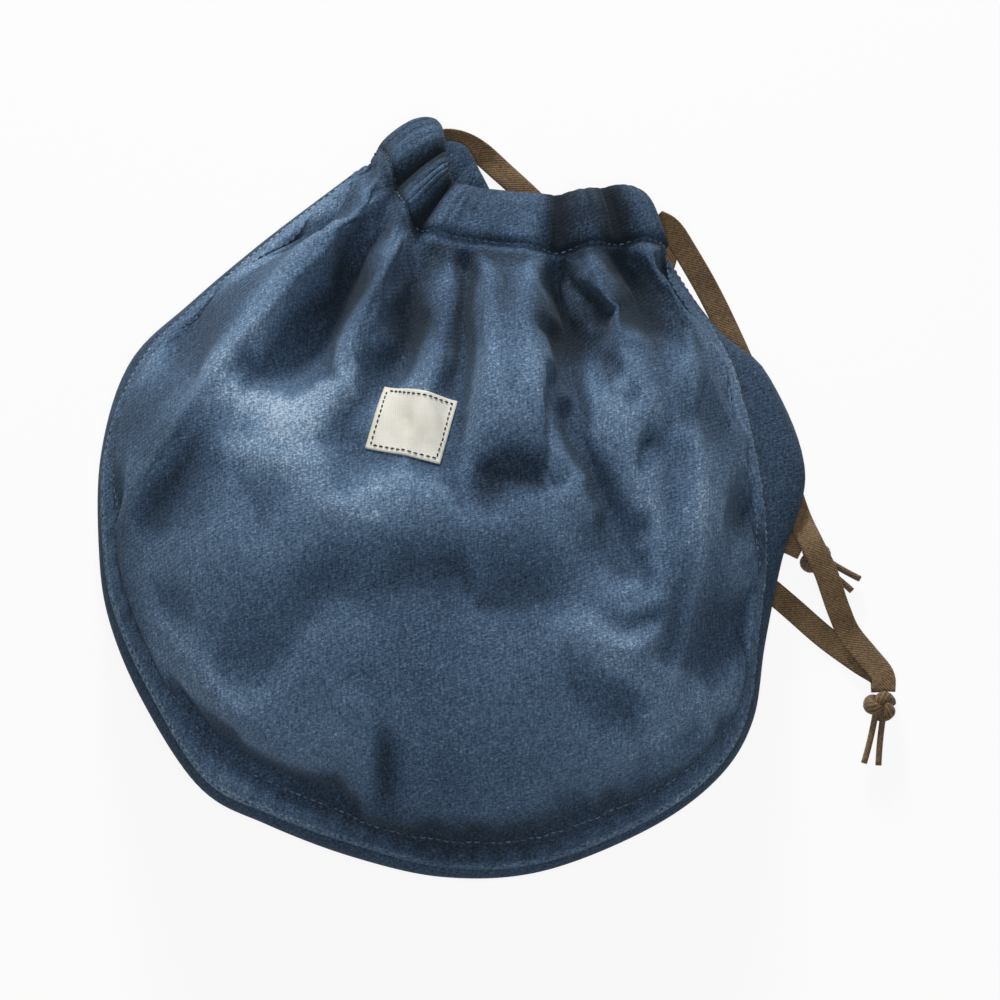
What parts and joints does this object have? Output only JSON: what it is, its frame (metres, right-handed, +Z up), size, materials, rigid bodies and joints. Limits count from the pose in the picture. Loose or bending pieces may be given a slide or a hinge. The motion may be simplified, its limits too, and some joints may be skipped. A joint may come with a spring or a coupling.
{
  "type": "drawstring pouch",
  "caption": "Softly filled denim drawstring pouch lying on its back, its mouth drawn in by flat cotton tapes that run in a sewn channel and end in knots, with a small cream label.",
  "frame": {"origin": "middle of the pouch's footprint on the surface that it lies on, its free tapes and knots left out", "axes": "+Z up, out of the front panel; +Y towards the mouth; +X to the right, seen from the front with the mouth at the top"},
  "size_m": [0.3349, 0.3212, 0.0879],
  "materials": {
    "denim": "washed indigo twill, matt",
    "label_cotton": "plain woven cream cotton, matt",
    "tape": "brown cotton twill tape, matt"
  },
  "bodies": {
    "root": {"front_panel": "denim", "back_panel": "denim", "label": "label_cotton", "drawstring_right": "tape", "drawstring_left": "tape", "knot_right": "tape", "knot_left": "tape"}
  },
  "joints": []
}
